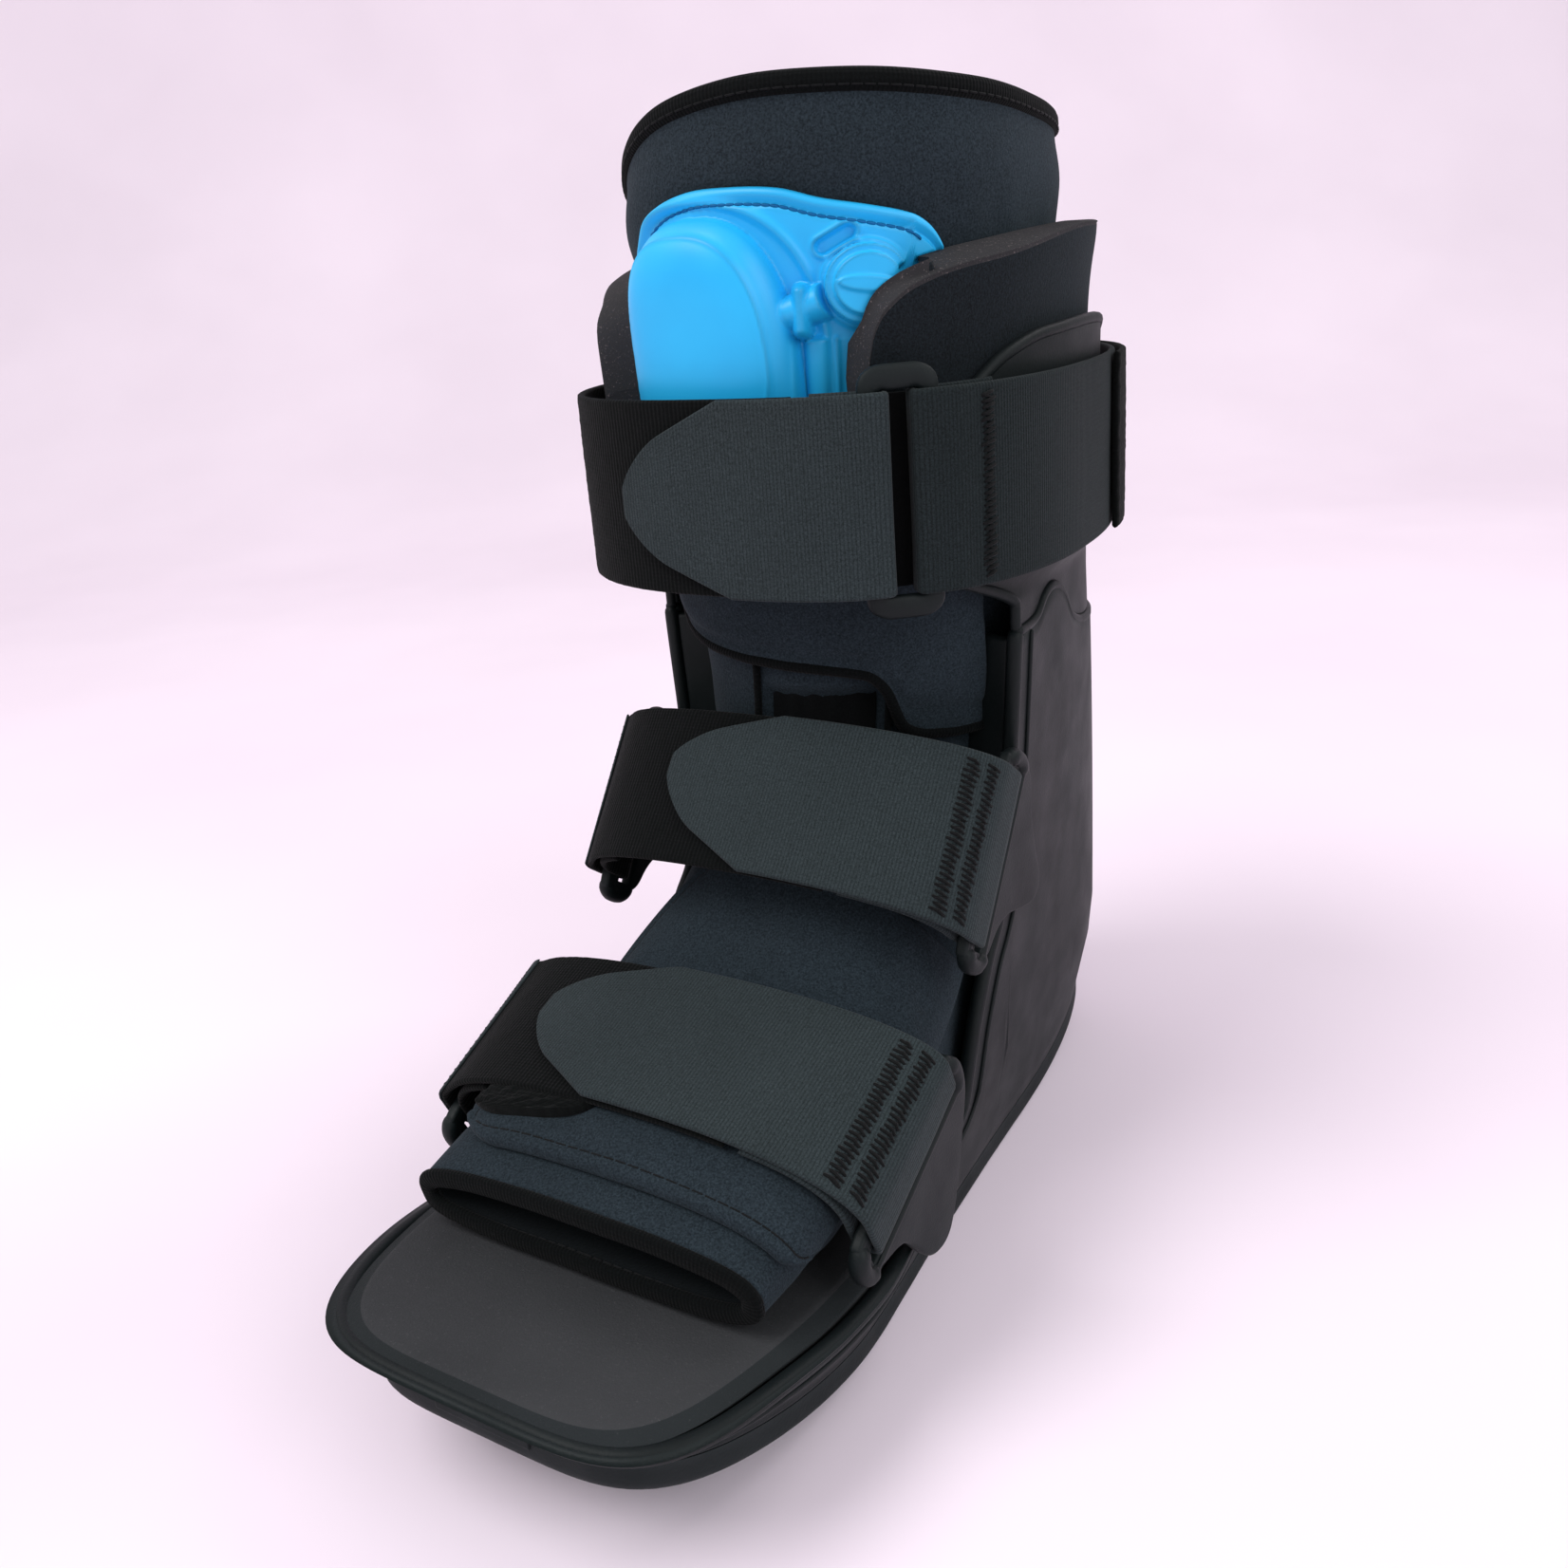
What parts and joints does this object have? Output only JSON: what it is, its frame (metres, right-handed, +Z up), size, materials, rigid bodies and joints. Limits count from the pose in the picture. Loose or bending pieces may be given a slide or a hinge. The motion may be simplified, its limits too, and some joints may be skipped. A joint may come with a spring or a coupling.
{
  "type": "medical walking boot",
  "caption": "Medical walking boot with a rocker sole, plastic shell and calf wings, padded bootie with an air pump, foam pads and touch-fastening straps.",
  "frame": {"origin": "under the middle of the boot's bounding box, on the ground the sole stands on", "axes": "+Z up, toe towards -Y, heel towards +Y, +X to the right of a viewer who faces the toe"},
  "size_m": [0.1442, 0.3178, 0.3277],
  "materials": {
    "rubber": "matt moulded rubber",
    "plastic": "satin moulded plastic, fine grain",
    "foam": "closed-cell foam faced with fabric",
    "knit": "padded brushed knit",
    "trim": "ribbed edge binding",
    "webbing": "woven strap",
    "pile": "brushed loop pile",
    "pump": "soft semi-gloss moulded sheet"
  },
  "bodies": {
    "root": {"outsole": "rubber", "shell": "plastic", "insole": "foam", "bootie": "knit", "bootie_top_binding": "trim", "bootie_toe_binding": "trim", "foot_flap": "knit", "cuff_flap": "knit", "pump_panel": "pump", "pump_bulb": "pump", "pump_valve": "pump", "top_ring": "plastic", "top_strap_hook": "webbing", "top_strap_pile": "pile", "top_strap_back": "webbing", "back_patch": "pile", "upright_right": "plastic", "foam_pad_right": "foam", "mid_loop_right": "plastic", "low_loop_right": "plastic", "upright_left": "plastic", "foam_pad_left": "foam", "mid_loop_left": "plastic", "low_loop_left": "plastic", "mid_strap_hook": "webbing", "mid_strap_pile": "pile", "low_strap_hook": "webbing", "low_strap_pile": "pile"}
  },
  "joints": []
}
